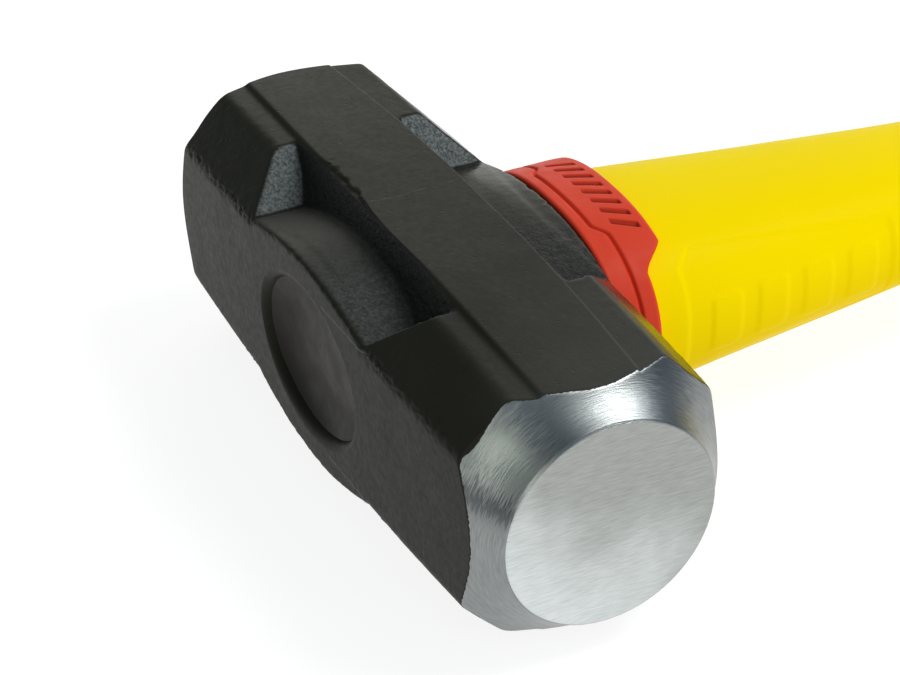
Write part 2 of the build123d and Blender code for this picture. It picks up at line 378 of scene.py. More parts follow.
def head_rings():
    """Rings square to the head: on each ray from its axis, the surface is found by halving."""
    angles = head_angles()
    x = head_stations()[:, None]
    ray_y, ray_z = np.sin(angles)[None, :], np.cos(angles)[None, :]
    near = np.full((x.shape[0], ray_y.shape[1]), 5.0)
    far = np.full_like(near, 70.0)
    for _ in range(34):
        middle = (near + far) / 2
        inside = head_field(x, middle * ray_y, middle * ray_z) < 0
        near, far = np.where(inside, middle, near), np.where(inside, far, middle)
    y, z = near * ray_y, near * ray_z
    rings = np.stack([np.broadcast_to(x, y.shape), y, z + AXIS_Z], axis=-1)
    centre = np.array([0, 0, AXIS_Z])
    caps = []
    for end in (0, -1):
        cap = [centre + (rings[end] - centre) * np.array([1, share, share])
               for share in (0.985, 0.94, 0.8, 0.6, 0.4, 0.2, 0.06)]
        caps.append(cap)
    return np.concatenate([caps[0][::-1], rings, caps[1]])


def eye_profile():
    """Rings of the eye as (y, half width, half thickness), from before one flat side to past the other."""
    profile = []
    for depth in (-2.0, -1.0, -0.4, 0.0, 0.3, 0.7, 1.2, 1.8, 2.6, 3.4, RECESS_DEPTH):
        share = 1 - depth / RECESS_DEPTH
        lip = EYE_LIP * math.exp(-max(depth, 0) / 0.5) + max(-depth, 0) * 2.6
        half = [floor + (recess - floor - EYE_LIP) * share + lip
                for floor, recess in zip(EYE_FLOOR, EYE_RECESS)]
        profile.append((-TOP_MID + depth, *half))
    profile.append((0, *EYE_WAIST))
    profile.append((TOP_MID - 1.5, *EYE_MOUTH))
    profile.append((TOP_MID + 2, EYE_MOUTH[0] + 1.5, EYE_MOUTH[1] + 1.5))
    return profile


def oval_ring(y, half_x, half_z, power, count):
    """Ring of points square to the handle, an ellipse at power 2 and squarer above it."""
    angle = np.arange(count) * 2 * math.pi / count
    cosine, sine = np.cos(angle), np.sin(angle)
    x = half_x * np.sign(cosine) * np.abs(cosine) ** (2 / power)
    z = half_z * np.sign(sine) * np.abs(sine) ** (2 / power)
    return np.stack([x, np.broadcast_to(y, x.shape), AXIS_Z + z], axis=-1)


def core_rings(y, shares, count):
    """Rings inside the core's section at y, which close the end of a piece there."""
    return [oval_ring(y, CORE_HALF[0] * share, CORE_HALF[1] * share, ELLIPSE, count) for share in shares]


def cut(piece, tool):
    """Takes tool out of piece and deletes it."""
    modifier = piece.modifiers.new("cut", "BOOLEAN")
    modifier.operation = "DIFFERENCE"
    modifier.solver = "EXACT"
    modifier.object = tool
    with bpy.context.temp_override(object=piece, active_object=piece):
        bpy.ops.object.modifier_apply(modifier=modifier.name)
    bpy.data.objects.remove(tool)


def near_eye(x, y, z):
    """True at the eye's wall and lip."""
    within = np.hypot(x / (EYE_RECESS[0] + 1.5), z / (EYE_RECESS[1] + 1.5)) < 1
    return within & (np.abs(y) < TOP_MID + 1)


def pocket_shares(x, y, z):
    """Where the pockets keep their scale, where they meet a boss, and where the bosses' own tops are."""
    along, up = np.abs(x), np.abs(z)
    from_wall = up - boss_wall(x)
    from_flat = flat_half(x, y) - np.abs(y)
    boss_top = ease(0.8, 0.3, np.abs(from_wall)) * (along < BOSS_HALF) * ease(0.5, 2.0, from_flat)
    pocket = np.maximum(ease(0.06, 0.22, -uncut_sides(x, y, z)), boss_top)
    pocket = pocket * (along < RAMP_X + 1) * (up > BOSS_EDGE - 1) * (1 - near_eye(x, y, z))
    shelf = ease(0.8, 0.2, from_wall)
    pocket *= 1 - shelf * (0.95 - 0.7 * ease(-14 + 12 * (y > 0), 20, x))
    return pocket, shelf, boss_top


def edge_damage(points, x, y, z):
    """Heights, below 0, of the tears along the flat sides' edges and of the dents in the ribs' edges."""
    from_flat = flat_half(x, y) - np.abs(y)
    to_edge = np.hypot(from_flat, forged_sides(x, y, z))
    tears = np.maximum(grain(points * [1, 0.6, 1.6], 1.8, 6, 3) + 0.05, 0)
    torn = -np.where(z > 0, TEAR_UPPER, TEAR_LOWER) * np.exp(-(to_edge / 1.1) ** 2) * tears
    to_rib = np.hypot(np.abs(z) - RIB_TOP, np.abs(y) - RIB_HALF_MID + 0.9)
    dents = -DENT * np.exp(-(to_rib / 1.3) ** 2) * np.maximum(grain(points, 2.4, 9, 3) + 0.1, 0)
    dents *= ease(30, 26, np.abs(x)) * ease(4, -4, x) * (y < 0)
    return torn, dents


def forge_head(mesh):
    """Makes the head's skin wavy, torn and gritty, and stores where it is ground or left rough."""
    points, outward = positions(mesh), normals(mesh)
    x, y, z = points[:, 0], points[:, 1], points[:, 2] - AXIS_Z
    ground = cove_field(x, y, z) - forged_field(x, y, z)
    from_flat = flat_half(x, y) - np.abs(y)
    pocket, shelf, boss_top = pocket_shares(x, y, z)
    skin_share = ease(0.0, 2.5, -ground) * (1 - 0.7 * near_eye(x, y, z))
    swell = SWELL * grain(points, 19.0, 1) + RIPPLE * grain(points, 5.0, 2)
    on_slope = ease(1.0, 3.0, np.abs(y) - RIB_HALF_MID) * ease(0.6, 1.6, from_flat)
    hammered = HAMMERED * on_slope * grain(points, 2.4, 3, 3)
    torn, dents = edge_damage(points, x, y, z)
    grit = GRIT * grain(points, 1.1, 4, 3) * pocket * (1 - 0.6 * shelf)
    points = points + outward * ((swell + hammered + torn + dents) * skin_share + grit)[:, None]
    move_points(mesh, np.clip(points, HEAD_LOW, HEAD_HIGH))

    left_painted = corner_share(y, z) * (0.9 + 0.25 * grain(points, 6.0, 8))
    paint(mesh, "ground", ground - np.maximum(left_painted, 0))
    paint(mesh, "pocket", pocket)
    # Where a painted sheen pales the far boss top on the -Y side.
    paint(mesh, "boss_painted_sheen", boss_top * ease(12, -12, x) * (y < 0))
    # Pale on the ramps that face along the head, as painted sheen from the light they face; streaks over
    # the shelves, more towards the near end and less on the handle side.
    ramp = ease(0.45, 0.6, np.abs(outward[:, 0])) * (0.84 + 0.16 * (y > 0))
    streaks = (0.34 + 0.18 * grain(points * [1, 0.4, 1], 1.3, 12, 3)) * (1 - 0.6 * (y > 0))
    paint(mesh, "wear_and_painted_sheen", np.maximum(ramp, np.clip(streaks, 0, 1) * shelf * ease(-18, 22, x)))


def make_head():
    """The head: a forged and ground skin with the eye cut through it."""
    piece = skin("hammer_head_forging", head_rings(), "poles")
    rings = [oval_ring(*ring, ELLIPSE, 160) for ring in eye_profile()]
    cut(piece, skin("eye_cutter", rings, "poles"))
    forge_head(piece.data)
    piece.data.shade_smooth()
    finish_piece(piece, "forged_head", head_material(), "hammer_head")


# --- pieces in the eye -----------------------------------------------------------------


def make_resin():
    """Bonding resin: the painted floor of the recess, then the fill down to the seal and round the core."""
    count = 160
    start_y = -TOP_MID + RECESS_DEPTH
    rings = []
    flat = EYE_FLOOR[0] - FILLET_FOOT, EYE_FLOOR[1] - FILLET_FOOT
    for share in (0.03, 0.25, 0.5, 0.75, 0.95):
        rings.append(oval_ring(start_y, flat[0] * share, flat[1] * share, ELLIPSE, count))
    for share in np.linspace(0.05, 1, 16):
        y = start_y - FILLET_RISE * share ** 2.3
        grow = share * (FILLET_FOOT + 0.55 * FILLET_RISE)
        rings.append(oval_ring(y, flat[0] + grow, flat[1] + grow, ELLIPSE, count))
    seal_y = SEAL_LOW[1]
    for y, wall in ((start_y, EYE_FLOOR), (0.0, EYE_WAIST), (seal_y, EYE_MOUTH)):
        rings.append(oval_ring(y, wall[0] - 0.05, wall[1] - 0.05, ELLIPSE, count))
    rings += core_rings(seal_y, [1], count)
    rings += core_rings(CORE_LOW[1], (1, 0.6, 0.1), count)
    piece = skin("eye_resin_fill", rings, "poles")
    points = positions(piece.data)
    surface = points[:, 1] < start_y + 0.2
    points[:, 1] += 0.08 * grain(points, 9.0, 7) * surface
    move_points(piece.data, points)
    finish_piece(piece, "bonding_resin", resin_material(), "eye_resin")


def make_seal():
    """Rubber ring round the core, with its two outer edges rounded off."""
    outer, eased = EYE_MOUTH, (EYE_MOUTH[0] - 0.2, EYE_MOUTH[1] - 0.2)
    low_y, high_y = SEAL_LOW[1], SEAL_HIGH[1]
    profile = [(low_y, CORE_HALF), (low_y, eased), (low_y + 0.3, outer),
               (high_y - 0.5, outer), (high_y, eased), (high_y, CORE_HALF)]
    rings = [oval_ring(y, *half, ELLIPSE, 120) for y, half in profile]
    material = rubber_material("seal_rubber", (0.02, 0.02, 0.02))
    finish_piece(skin("eye_seal_ring", rings, "loop"), "seal_rubber", material, "eye_seal")


# --- handle -----------------------------------------------------------------------------


def smooth_through(value, places, sizes):
    """Monotone cubic through a few stations (Fritsch and Carlson's slopes)."""
    gaps = np.diff(places)
    rises = np.diff(sizes) / gaps
    slopes = np.zeros(len(places))
    slopes[0], slopes[-1] = rises[0], rises[-1]
    for k in range(1, len(rises)):
        if rises[k - 1] * rises[k] > 0:
            weight = gaps[k - 1] + 2 * gaps[k], 2 * gaps[k - 1] + gaps[k]
            slopes[k] = sum(weight) / (weight[1] / rises[k - 1] + weight[0] / rises[k])
    k = np.clip(np.searchsorted(places, value) - 1, 0, len(gaps) - 1)
    t = (value - places[k]) / gaps[k]
    start, end = (1 + 2 * t) * (1 - t) ** 2, t * t * (3 - 2 * t)
    lift, drop = t * (1 - t) ** 2 * gaps[k], t * t * (1 - t) * gaps[k]
    return start * sizes[k] + lift * slopes[k] + end * sizes[k + 1] - drop * slopes[k + 1]


def jacket_half(y):
    """Half width and half thickness of the jacket at y, on a smooth curve through its sections."""
    table = np.array(JACKET_SECTIONS)
    return tuple(smooth_through(y, table[:, 0], table[:, k]) for k in (1, 2))


def panel_depth(points):
    """Depth of the shallow panel on each side of the handle near the head, less the pads left in it."""
    out, along, up = np.abs(points[:, 0]), points[:, 1], points[:, 2] - AXIS_Z
    lean = np.maximum(PANEL_TOP_X + PANEL_LEAN - out, 0)
    inside = np.minimum(np.minimum(out - PANEL_TOP_X, along - PANEL_START - lean), PANEL_END - along)
    number = np.clip(np.round((along - PAD_FIRST) / PAD_PITCH), 0, PAD_COUNT - 1)
    from_pad = np.abs(along - PAD_FIRST - number * PAD_PITCH) - PAD_HALF[0] + 2
    from_pad = np.hypot(np.maximum(from_pad, 0), np.maximum(np.abs(up) - PAD_HALF[1] + 2, 0)) - 2
    pads = PAD_RISE * ease(0.0, 1.1, -from_pad) * (out > PANEL_TOP_X)
    return PANEL_DEPTH * ease(0.0, 1.5, inside) - pads


def make_jacket():
    """Tube round the core: its outside, finer where the panels are, then back along its bore."""
    start, end = JACKET_LOW[1], JACKET_HIGH[1]
    count = 300
    places = np.concatenate([np.arange(start, 125, 0.6), np.arange(125, 230, 2.0),
                             np.arange(230, end - 3, 6.0), np.linspace(end - 3, end, 4)])
    rings = [oval_ring(y, *jacket_half(y), OVAL_POWER, count) for y in places]
    rings += [oval_ring(y, *CORE_HALF, ELLIPSE, count) for y in (end, start)]
    piece = skin("handle_jacket_shell", rings, "loop")
    points, outward = positions(piece.data), normals(piece.data)
    outside = np.arange(len(points)) < len(places) * count
    sink = -panel_depth(points) + 0.05 * grain(points, 30.0, 11)
    move_points(piece.data, points + outward * (sink * outside)[:, None])
    finish_piece(piece, "handle_plastic", jacket_material(), "handle_jacket")


def make_core():
    """Rod from the eye to the butt, with its ends slightly rounded off."""
    start, end = CORE_LOW[1], CORE_HIGH[1]
    count = 96
    places = np.concatenate([[start + 0.3], np.arange(start + 20, end - 10, 40.0), [end - 0.3]])
    rings = core_rings(start, (0.1, 0.6, 0.97), count)
    rings += [oval_ring(y, *CORE_HALF, ELLIPSE, count) for y in places]
    rings += core_rings(end, (0.97, 0.6, 0.1), count)
    piece = skin("fibreglass_core_rod", rings, "poles")
    finish_piece(piece, "fibreglass", fibreglass_material(), "fibreglass_core")


def collar_rim(x):
    """Where the collar ends along the handle: further out across the tab."""
    share = np.clip((TAB_HALF_ROOT - np.abs(x)) / (TAB_HALF_ROOT - TAB_HALF_OUTER), 0, 1)
    return COLLAR_EDGE_Y + (TAB_EDGE_Y - COLLAR_EDGE_Y) * (share + ease(0, 1, share)) / 2


def collar_relief(x, y):
    """Depth of the collar's parting groove and of the slanted bars on its tab, then the bars' share."""
    groove_y = GROOVE_Y + (GROOVE_SIDE_Y - GROOVE_Y) * ease(GROOVE_STEP_X[0], GROOVE_STEP_X[1], np.abs(x))
    groove = np.exp(-((y - groove_y) / 0.42) ** 2)
    slant = x - 0.55 * (y - BAR_MIDDLE_Y)
    phase = np.abs((slant / BAR_PITCH) % 1 - 0.5) * BAR_PITCH
    bars = ease(0, 0.6, BAR_HALF - phase + 0.3) * ease(0, 0.6, BAR_REACH - np.abs(y - BAR_MIDDLE_Y))
    bars *= ease(0, 0.6, BAR_SPAN - np.abs(slant))
    return 0.75 * groove + 0.7 * bars, bars


def make_collar():
    """Rings that follow the collar's rim: front face, outside, rim and back, closed along the jacket."""
    count = 960
    start = COLLAR_LOW[1]
    edge, rim_edge = 0.9, 1.2
    x = oval_ring(0, *COLLAR_HALF, OVAL_POWER, count)[:, 0]
    rim = collar_rim(x)

    def outside(y, inset):
        return oval_ring(y, COLLAR_HALF[0] - inset, COLLAR_HALF[1] - inset, OVAL_POWER, count)

    rings = [oval_ring(start, *jacket_half(start), OVAL_POWER, count), outside(start, edge + 0.8)]
    for turn in np.radians([0, 22, 45, 68, 90]):
        rings.append(outside(start + edge * (1 - math.cos(turn)), edge * (1 - math.sin(turn))))
    for share in np.linspace(0, 1, 88)[1:-1]:
        y = start + edge + share * (rim - rim_edge - start - edge)
        rings.append(outside(y, collar_relief(x, y)[0]))
    for turn in np.radians([0, 22, 45, 68, 90]):
        rings.append(outside(rim - rim_edge * (1 - math.sin(turn)), rim_edge * (1 - math.cos(turn))))
    rings.append(oval_ring(rim, *jacket_half(rim), OVAL_POWER, count))
    rings.append(oval_ring((rim + start) / 2, *jacket_half((rim + start) / 2), OVAL_POWER, count))
    piece = skin("strike_collar_moulding", rings, "loop")
    points = positions(piece.data)
    # Where shade is painted at the bottom of the recessed bars.
    paint(piece.data, "bar_painted_shade", collar_relief(points[:, 0], points[:, 1])[1])
    material = rubber_material("collar_red", COLLAR_RED, marked=True)
    finish_piece(piece, "collar_elastomer", material, "strike_collar")


def grip_wall(y):
    """Thickness of the grip at y, with raised rings where the hand closes."""
    middle = GRIP_FIRST_RING_Y + GRIP_RING_LENGTH / 2
    ring = np.clip(np.round((y - middle) / GRIP_RING_PITCH), 0, GRIP_RINGS - 1)
    away = np.abs(y - middle - ring * GRIP_RING_PITCH)
    return GRIP_WALL + (GRIP_RING_WALL - GRIP_WALL) * ease(0, 1.3, GRIP_RING_LENGTH / 2 + 0.2 - away)


def make_grip():
    """Sleeve on the jacket: a rounded lip, the outside, finer at its rings, then back along the jacket."""
    start, end = GRIP_LOW[1], GRIP_HIGH[1]
    rings_start = GRIP_FIRST_RING_Y - 4
    rings_end = GRIP_FIRST_RING_Y + GRIP_RINGS * GRIP_RING_PITCH + 4
    count = 200
    lip = 1.1
    rings = [oval_ring(start, *jacket_half(start), OVAL_POWER, count)]
    for turn in np.radians([0, 30, 60, 90]):
        y = start + lip * (1 - math.cos(turn))
        inset = lip * (1 - math.sin(turn)) - GRIP_WALL
        half = jacket_half(y)
        rings.append(oval_ring(y, half[0] - inset, half[1] - inset, OVAL_POWER, count))
    places = np.concatenate([np.arange(start + lip + 0.8, rings_start, 2.0),
                             np.arange(rings_start, rings_end, 0.5),
                             np.arange(rings_end, end, 2.5), [end]])
    for y in places:
        half, wall = jacket_half(y), grip_wall(y)
        rings.append(oval_ring(y, half[0] + wall, half[1] + wall, OVAL_POWER, count))
    for y in np.linspace(end, start, 12)[:-1]:
        rings.append(oval_ring(y, *jacket_half(y), OVAL_POWER, count))
    piece = skin("grip_sleeve_moulding", rings, "loop")
    finish_piece(piece, "grip_elastomer", rubber_material("grip_red", COLLAR_RED), "grip_sleeve")


def make_cap():
    """End cap: the plug in the jacket's bore, then a flange and a crowned end."""
    count = 200
    flange_y, end = JACKET_HIGH[1], CAP_HIGH[1]
    half = (CAP_HIGH[0], (CAP_HIGH[2] - CAP_LOW[2]) / 2)
    crown = 7.0
    rings = core_rings(CAP_LOW[1], (0.1, 0.6, 0.97), count)
    rings += [oval_ring(y, *CORE_HALF, ELLIPSE, count) for y in (CAP_LOW[1] + 0.4, flange_y)]
    rings.append(oval_ring(flange_y, half[0] - 0.5, half[1] - 0.5, OVAL_POWER, count))
    for y in (flange_y + 0.5, flange_y + 2.5, end - crown):
        rings.append(oval_ring(y, *half, OVAL_POWER, count))
    for turn in np.radians(np.arange(10, 91, 10)):
        inset = crown * (1 - math.cos(turn))
        y = end - crown * (1 - math.sin(turn))
        rings.append(oval_ring(y, half[0] - inset, half[1] - inset, OVAL_POWER, count))
    for share in (0.8, 0.5, 0.2):
        rings.append(oval_ring(end, (half[0] - crown) * share, (half[1] - crown) * share, 2.2, count))
    piece = skin("butt_cap_moulding", rings, "poles")
    finish_piece(piece, "cap_elastomer", rubber_material("cap_red", COLLAR_RED), "butt_cap")


# --- materials --------------------------------------------------------------------------


class Graph:
    """A material's node tree, with short names for the nodes used here."""

    def __init__(self, name):
        self.material = bpy.data.materials.new(name)
        self.material.use_nodes = True
        self.tree = self.material.node_tree
        self.tree.nodes.clear()
        self.place = self.node("ShaderNodeTexCoord").outputs["Object"]

    def node(self, kind, **settings):
        """New node with those properties."""
        made = self.tree.nodes.new(kind)
        for key, value in settings.items():
            setattr(made, key, value)
        return made

    def feed(self, socket, value):
        """Links value to the socket if it is another node's output, and otherwise sets it."""
        if isinstance(value, bpy.types.NodeSocket):
            self.tree.links.new(value, socket)
        else:
            socket.default_value = value

    def maths(self, operation, *values):
        made = self.node("ShaderNodeMath", operation=operation)
        for socket, value in zip(made.inputs, values):
            self.feed(socket, value)
        return made.outputs[0]

    def axes(self):
        """X, Y and Z of the place on the object, in metres."""
        made = self.node("ShaderNodeSeparateXYZ")
        self.feed(made.inputs[0], self.place)
        return made.outputs[0], made.outputs[1], made.outputs[2]

    def scaled(self, value, middle, factor):
        """How far value is from middle, times factor."""
        return self.maths("MULTIPLY", self.maths("SUBTRACT", value, middle), factor)

    def noise(self, scale, detail=3.0, roughness=0.6, vector=None):
        made = self.node("ShaderNodeTexNoise")
        self.feed(made.inputs["Vector"], vector or self.place)
        made.inputs["Scale"].default_value = scale
        made.inputs["Detail"].default_value = detail
        made.inputs["Roughness"].default_value = roughness
        return made.outputs["Fac"]

    def stretch(self, x, y, z, turn=0.0):
        """The place scaled along each axis and turned round X, as a vector for noise."""
        made = self.node("ShaderNodeMapping")
        self.feed(made.inputs["Vector"], self.place)
        made.inputs["Scale"].default_value = (x, y, z)
        made.inputs["Rotation"].default_value = (turn, 0, 0)
        return made.outputs[0]

    def span(self, value, low, high, to_low=0.0, to_high=1.0):
        """value between low and high, carried smoothly onto to_low and to_high."""
        made = self.node("ShaderNodeMapRange", interpolation_type="SMOOTHSTEP")
        for socket, number in zip(made.inputs, (value, low, high, to_low, to_high)):
            self.feed(socket, number)
        return made.outputs[0]

    def choose(self, share, first, second):
        """Mix of two numbers."""
        made = self.node("ShaderNodeMix", data_type="FLOAT")
        self.feed(made.inputs[0], share)
        self.feed(made.inputs[2], first)
        self.feed(made.inputs[3], second)
        return made.outputs[0]

    def blend(self, share, first, second):
        """Mix of two colours."""
        made = self.node("ShaderNodeMix", data_type="RGBA")
        self.feed(made.inputs[0], share)
        self.feed(made.inputs[6], first if isinstance(first, bpy.types.NodeSocket) else (*first, 1))
        self.feed(made.inputs[7], second if isinstance(second, bpy.types.NodeSocket) else (*second, 1))
        return made.outputs[2]

    def attribute(self, name):
        return self.node("ShaderNodeAttribute", attribute_name=name).outputs["Fac"]

    def bump(self, height, strength, distance, normal=None):
        made = self.node("ShaderNodeBump")
        self.feed(made.inputs["Height"], height)
        self.feed(made.inputs["Strength"], strength)
        made.inputs["Distance"].default_value = distance
        if normal is not None:
            self.feed(made.inputs["Normal"], normal)
        return made.outputs[0]

    def principled(self, **values):
        """Principled shader. An underscore in a name stands for the space in its socket's name."""
        made = self.node("ShaderNodeBsdfPrincipled")
        for key, value in values.items():
            socket = made.inputs[key.replace("_", " ")]
            if isinstance(value, tuple):
                value = (*value, 1)
            self.feed(socket, value)
        return made.outputs[0]

    def mix_shader(self, share, first, second):
        made = self.node("ShaderNodeMixShader")
        for socket, value in zip(made.inputs, (share, first, second)):
            self.feed(socket, value)
        return made.outputs[0]

    def finish(self, shader):
        output = self.node("ShaderNodeOutputMaterial")
        self.feed(output.inputs["Surface"], shader)
        return self.material


def paint_shader(g):
    """Satin black paint with small pits and a scratch over the rib, paler and smoother in some places, and
    a painted sheen on the far boss top.
    """
    colour = g.blend(g.noise(70, 4), (0.0130, 0.0134, 0.0090), (0.0168, 0.0173, 0.0118))
    # Painted sheen: the far boss top on the -Y side is paler, standing in for light it would catch.
    colour = g.blend(g.attribute("boss_painted_sheen"), colour, (0.046, 0.047, 0.040))
    gloss = g.span(g.noise(600, 3), 0.3, 0.7, 0.42, 0.50)
    x, y, z = g.axes()
    gloss = g.maths("MULTIPLY", gloss, g.span(y, 0.020, 0.024, 1.0, 0.38))

    # Paler towards the near end and the handle side, on the upper faces.
    near_corner_share = g.span(g.maths("ADD", x, y), 0.030, 0.090)
    upper = g.span(z, (AXIS_Z + RIB_END - 7) * MM, (AXIS_Z + RIB_END - 2) * MM)
    colour = g.blend(g.maths("MULTIPLY", near_corner_share, upper), colour, (0.033, 0.034, 0.029))

    wander = g.scaled(g.noise(160, 3), 0.5, 0.0035)
    off_line = g.maths("ABSOLUTE", g.maths("ADD", g.maths("ADD", x, 0.0055), wander))
    broken = g.span(g.noise(330, 3), 0.42, 0.62)
    scratch = g.maths("MULTIPLY", g.span(off_line, 0.0, 0.0003, 1.0, 0.0), broken)
    on_rib = g.maths("GREATER_THAN", z, (AXIS_Z + RIB_END) * MM)
    colour = g.blend(g.maths("MULTIPLY", scratch, on_rib), colour, (0.055, 0.056, 0.048))

    pits = g.maths("MULTIPLY", g.span(g.noise(520, 2), 0.66, 0.74), 0.6)
    height = g.maths("SUBTRACT", g.maths("MULTIPLY", g.noise(700, 4, 0.65), 0.5), pits)
    peel = g.bump(height, 0.26, 0.0004)
    return g.principled(Base_Color=colour, Roughness=gloss, Normal=peel, IOR=1.18)


def scale_shader(g):
    """Pockets of the forging: gritty scale under thin paint, bare and pale on worn streaks, and pale on the
    ramps as painted sheen.
    """
    dark = g.blend(g.noise(900, 3), (0.0025, 0.0025, 0.0023), (0.0145, 0.0148, 0.0136))
    pale = g.blend(g.span(g.noise(1500, 3, 0.6), 0.30, 0.72), (0.055, 0.064, 0.067), (0.19, 0.213, 0.210))
    # Paler where the share of wear and painted sheen is higher.
    colour = g.blend(g.attribute("wear_and_painted_sheen"), dark, pale)
    gloss = g.span(g.noise(500, 3), 0.3, 0.7, 0.30, 0.42)
    grit = g.bump(g.noise(1300, 3, 0.7), 0.7, 0.0007, g.bump(g.noise(560, 4, 0.7), 0.55, 0.0012))
    return g.principled(Base_Color=colour, Roughness=gloss, Normal=grit, IOR=1.24)


COVE_PAINTED_REFLECTIONS = (     # painted reflections: bands of lighter and darker tone round the coves, standing for the light and shade they reflect: degrees from +Z towards +Y, reach either way, colour
    (-68, 9, (0.06, 0.068, 0.070)),
    (33, 22, (0.055, 0.078, 0.105)),
    (-24, 17, (0.10, 0.125, 0.145)),
    (-48, 17, (0.40, 0.44, 0.40)),
)


def steel_shader(g):
    """Ground steel: turned round X on the coves, brushed along Y on the discs, with painted reflections
    round the coves, a painted highlight at the paint's edge and a painted sheen on the discs.
    """
    x, y, z = g.axes()
    z = g.maths("SUBTRACT", z, AXIS_Z * MM)
    radius = g.maths("SQRT", g.maths("ADD", g.maths("MULTIPLY", y, y), g.maths("MULTIPLY", z, z)))
    turned = g.node("ShaderNodeCombineXYZ")
    g.feed(turned.inputs[0], g.maths("MULTIPLY", x, 4200))
    g.feed(turned.inputs[1], g.maths("MULTIPLY", radius, 4200))
    angle = g.maths("ARCTAN2", y, z)
    g.feed(turned.inputs[2], g.maths("MULTIPLY", angle, 9))
    cove_lines = g.noise(1.0, 1, 0.5, turned.outputs[0])
    disc_lines = g.noise(1.0, 3, 0.6, g.stretch(200, 260, 4200, math.radians(4)))
    on_disc = g.maths("GREATER_THAN", g.maths("ABSOLUTE", x), (FACE_X - 0.2) * MM)
    lines = g.choose(on_disc, cove_lines, disc_lines)

    cove_tone = g.blend(lines, (0.19, 0.204, 0.204), (0.335, 0.355, 0.35))
    # Painted highlight: a paler line along the edge of the paint.
    edge_painted_highlight = g.span(g.attribute("ground"), 0.0, 0.16, 0.22, 0.0)
    cove_tone = g.blend(edge_painted_highlight, cove_tone, (0.60, 0.60, 0.55))
    flecks = g.scaled(lines, 0.5, 0.35)
    # Painted reflections: lighter and darker bands round the coves.
    for middle, reach, tone in COVE_PAINTED_REFLECTIONS:
        off = g.maths("ADD", g.maths("SUBTRACT", angle, math.radians(middle)), flecks)
        share = g.span(g.maths("ABSOLUTE", off), 0, math.radians(reach), 0.75, 0.0)
        cove_tone = g.blend(share, cove_tone, tone)

    # Painted sheen: the discs paler low down and towards -Y, with random unevenness.
    wear_and_painted_sheen = g.maths("ADD", g.noise(30, 3), g.maths("MULTIPLY", g.maths("ADD", y, z), -13.0))
    dull = g.blend(lines, (0.23, 0.240, 0.230), (0.46, 0.475, 0.46))
    bright = g.blend(lines, (0.46, 0.49, 0.485), (0.80, 0.85, 0.84))
    disc_tone = g.blend(g.span(wear_and_painted_sheen, 0.25, 0.95), dull, bright)
    tone = g.blend(on_disc, cove_tone, disc_tone)

    gloss = g.span(lines, 0.2, 0.8, 0.42, 0.33)
    scored = g.bump(lines, 0.26, 0.00013)
    tangent = g.node("ShaderNodeTangent", direction_type="RADIAL", axis="X").outputs[0]
    return g.principled(Base_Color=tone, Metallic=1.0, Roughness=gloss, Normal=scored,
                        Anisotropic=0.5, Tangent=tangent)


def head_material():
    """Black paint, cut away to a ragged edge where the ends were ground after painting."""
    g = Graph("forged_head")
    ragged = g.scaled(g.noise(260, 4, 0.65), 0.55, 0.6)
    ragged = g.maths("ADD", ragged, g.scaled(g.noise(1200, 3), 0.5, 0.35))
    ground = g.span(g.maths("ADD", g.attribute("ground"), ragged), 0.0, 0.10)
    forged = g.mix_shader(g.attribute("pocket"), paint_shader(g), scale_shader(g))
    return g.finish(g.mix_shader(ground, forged, steel_shader(g)))


def resin_material():
    """Cast resin, painted black with the head."""
    g = Graph("bonding_resin")
    tone = g.blend(g.noise(60, 4), (0.019, 0.018, 0.0145), (0.026, 0.022, 0.018))
    gloss = g.span(g.noise(150, 3), 0.3, 0.7, 0.42, 0.55)
    rippled = g.bump(g.noise(500, 4), 0.2, 0.0004)
    return g.finish(g.principled(Base_Color=tone, Roughness=gloss, Normal=rippled, IOR=1.27))


def rubber_material(name, colour, marked=False):
    """Moulded elastomer. marked paints shade at the bottom of the recessed bars in it."""
    g = Graph(name)
    dark = tuple(0.86 * part for part in colour)
    tone = g.blend(g.noise(140, 4), dark, colour)
    # Painted shade at the bottom of the recessed bars.
    if marked:
        tone = g.blend(g.attribute("bar_painted_shade"), tone, tuple(0.38 * part for part in colour))
    gloss = g.span(g.noise(300, 3), 0.3, 0.7, 0.44, 0.56)
    grain_bump = g.bump(g.noise(1800, 3), 0.12, 0.0003)
    return g.finish(g.principled(Base_Color=tone, Roughness=gloss, Normal=grain_bump, IOR=1.2))


def jacket_material():
    """Yellow polypropylene, with painted shade making it deeper in tone low down, and faint flow lines
    along the handle.
    """
    g = Graph("handle_plastic")
    # Painted shade: deeper, oranger tone low down on the handle.
    low_painted_shade = g.span(g.axes()[2], 0.012, 0.038, 0.75, 0.0)
    tone = g.blend(g.noise(25, 3), (0.86, 0.64, 0.0), (0.90, 0.68, 0.0))
    tone = g.blend(low_painted_shade, tone, (0.78, 0.51, 0.0))
    gloss = g.span(g.noise(1.0, 3, 0.5, g.stretch(600, 60, 600)), 0.3, 0.7, 0.30, 0.38)
    flow = g.bump(g.noise(1.0, 3, 0.5, g.stretch(260, 25, 260)), 0.08, 0.0005)
    return g.finish(g.principled(Base_Color=tone, Roughness=gloss, Normal=flow, IOR=1.13,
                                 Specular_IOR_Level=0.08))


def fibreglass_material():
    """Pale resin with fine strands of glass along the handle."""
    g = Graph("fibreglass")
    strands = g.noise(1.0, 3, 0.6, g.stretch(2500, 20, 2500))
    tone = g.blend(strands, (0.55, 0.50, 0.34), (0.78, 0.75, 0.60))
    ridged = g.bump(strands, 0.3, 0.0003)
    return g.finish(g.principled(Base_Color=tone, Roughness=0.45, Normal=ridged))


# --- stage, light and camera ------------------------------------------------------------


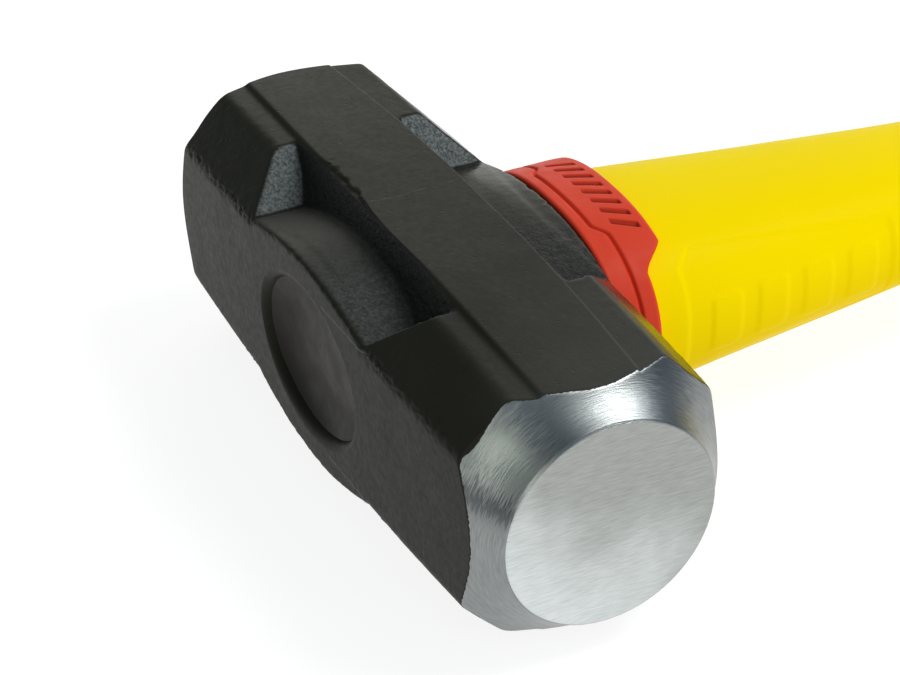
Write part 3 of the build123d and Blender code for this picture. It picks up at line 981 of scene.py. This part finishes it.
def make_floor():
    """Plain pale floor that glows a little, so that it comes out white."""
    mesh = bpy.data.meshes.new("floor")
    size = 6.0
    corners = [(-size, -size, 0), (size, -size, 0), (size, size, 0), (-size, size, 0)]
    mesh.from_pydata(corners, [], [(0, 1, 2, 3)])
    floor = bpy.data.objects.new("floor", mesh)
    bpy.context.scene.collection.objects.link(floor)
    g = Graph("floor")
    pale = g.principled(Base_Color=(0.22, 0.22, 0.22), Roughness=0.9,
                        Emission_Color=(1.0, 1.0, 1.0), Emission_Strength=0.87)
    mesh.materials.append(g.finish(pale))


def area_light(name, place, aim, size, power, colour=(1, 1, 1)):
    """Rectangular light at place, turned to aim. Both are in metres, and power is in watts."""
    data = bpy.data.lights.new(name, "AREA")
    data.shape = "RECTANGLE"
    data.size, data.size_y = size
    data.energy = power
    data.color = colour
    light = bpy.data.objects.new(name, data)
    light.location = place
    light.rotation_euler = (Vector(aim) - Vector(place)).to_track_quat("-Z", "Y").to_euler()
    bpy.context.scene.collection.objects.link(light)


def make_lights():
    """Pale surroundings and four large lights."""
    world = bpy.data.worlds.new("studio")
    world.use_nodes = True
    background = world.node_tree.nodes["Background"]
    background.inputs["Color"].default_value = (0.86, 0.96, 1, 1)
    background.inputs["Strength"].default_value = 0.27
    bpy.context.scene.world = world
    area_light("key", (0.28, 0.69, 1.05), (0, 0, 0.03), (0.6, 0.5), 10)
    area_light("side", (1.20, 0.30, 0.50), (0, 0.05, 0.03), (0.8, 0.8), 3.5)
    area_light("back", (-1.15, 0.78, 0.66), (0, 0, 0.03), (1.4, 1.3), 8, (1, 0.98, 0.90))
    area_light("fill", (0.90, -1.03, 0.52), (0, 0, 0.03), (0.6, 0.6), 1.55, (1, 1, 0.93))


CAMERA_AZIMUTH = 64.43          # degrees round Z from -Y to the camera, as seen from the aim
CAMERA_ELEVATION = 32.28
CAMERA_ROLL = -1.09
CAMERA_DISTANCE = 0.5835        # metres
CAMERA_LENS = 104.3
CAMERA_AIM = (3.2, 3.8, -2.1)   # from the middle of the head, in millimetres


def make_camera():
    azimuth, elevation = math.radians(CAMERA_AZIMUTH), math.radians(CAMERA_ELEVATION)
    level = math.cos(elevation)
    back = Vector((math.sin(azimuth) * level, -math.cos(azimuth) * level, math.sin(elevation)))
    aim = (Vector(CAMERA_AIM) + Vector((0, 0, AXIS_Z))) * MM
    data = bpy.data.cameras.new("camera")
    data.sensor_width = 36
    data.lens = CAMERA_LENS
    camera = bpy.data.objects.new("camera", data)
    turn = back.to_track_quat("Z", "Y").to_matrix() @ Matrix.Rotation(math.radians(CAMERA_ROLL), 3, "Z")
    camera.matrix_world = Matrix.Translation(aim + back * CAMERA_DISTANCE) @ turn.to_4x4()
    bpy.context.scene.collection.objects.link(camera)
    bpy.context.scene.camera = camera
    bpy.context.scene.view_settings.view_transform = "Standard"


make_camera()
make_head()
make_resin()
make_seal()
make_core()
make_jacket()
make_collar()
make_grip()
make_cap()
make_floor()
make_lights()

bpy.context.view_layer.update()
